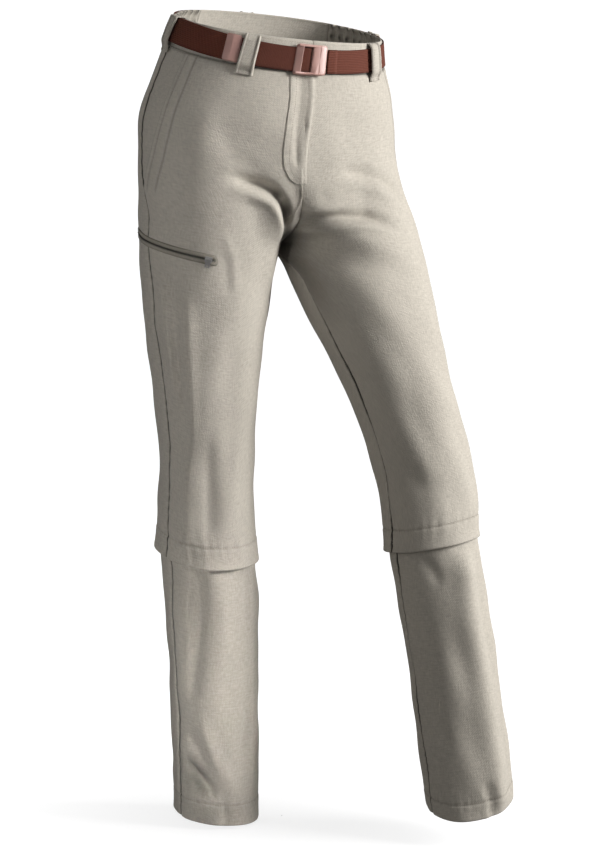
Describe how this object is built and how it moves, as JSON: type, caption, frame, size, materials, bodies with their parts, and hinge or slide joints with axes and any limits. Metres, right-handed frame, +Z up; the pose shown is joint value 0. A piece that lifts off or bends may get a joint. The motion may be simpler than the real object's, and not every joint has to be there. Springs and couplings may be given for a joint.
{
  "type": "hiking trousers",
  "caption": "Stone-coloured hiking trousers in a worn, stepping pose, with zip-off lower legs, a web belt, slanted hip pockets and a zipped thigh pocket.",
  "frame": {"origin": "centre of the waist ring, where a wearer holds the garment", "axes": "+Z up, -Y to the wearer's front, +X to the wearer's left"},
  "size_m": [0.4035, 0.3619, 1.0211],
  "materials": {
    "trouser_cloth": "matte plain weave with a slight slub",
    "gathered_cloth": "matte, gathered on elastic",
    "belt_web": "dull ribbed webbing",
    "buckle_plastic": "satin moulded",
    "zip_tape": "matte woven tape",
    "zip_metal": "satin die-cast"
  },
  "bodies": {
    "garment": {"front_panel_right": "trouser_cloth", "front_panel_left": "trouser_cloth", "back_panel_right": "trouser_cloth", "back_panel_left": "trouser_cloth", "hip_pocket_facing_right": "trouser_cloth", "hip_pocket_facing_left": "trouser_cloth", "fly_placket": "trouser_cloth", "lower_front_right": "trouser_cloth", "lower_front_left": "trouser_cloth", "lower_back_right": "trouser_cloth", "lower_back_left": "trouser_cloth", "waistband_front_right": "trouser_cloth", "waistband_front_left": "trouser_cloth", "waistband_back": "trouser_cloth", "belt_loop_front_right": "trouser_cloth", "belt_loop_front_left": "trouser_cloth", "belt_loop_side_right": "trouser_cloth", "belt_loop_side_left": "trouser_cloth", "belt_loop_back": "trouser_cloth", "zip_welts": "trouser_cloth", "waistband_side_right": "gathered_cloth", "waistband_side_left": "gathered_cloth", "belt_strap": "belt_web", "belt_tip": "buckle_plastic", "belt_buckle": "buckle_plastic", "knee_zip_right": "zip_tape", "knee_zip_left": "zip_tape", "zip_coil": "zip_tape", "zip_slider": "zip_metal"},
    "zip_pull": {"zip_pull": "zip_metal"}
  },
  "joints": [
    {"name": "zip_pull_hinge", "type": "hinge", "parent": "garment", "child": "zip_pull", "pos_m": [-0.13491, -0.08395, -0.28146], "axis": [-0.8936, 0.397, 0.2095], "range_deg": [0, 150]}
  ]
}
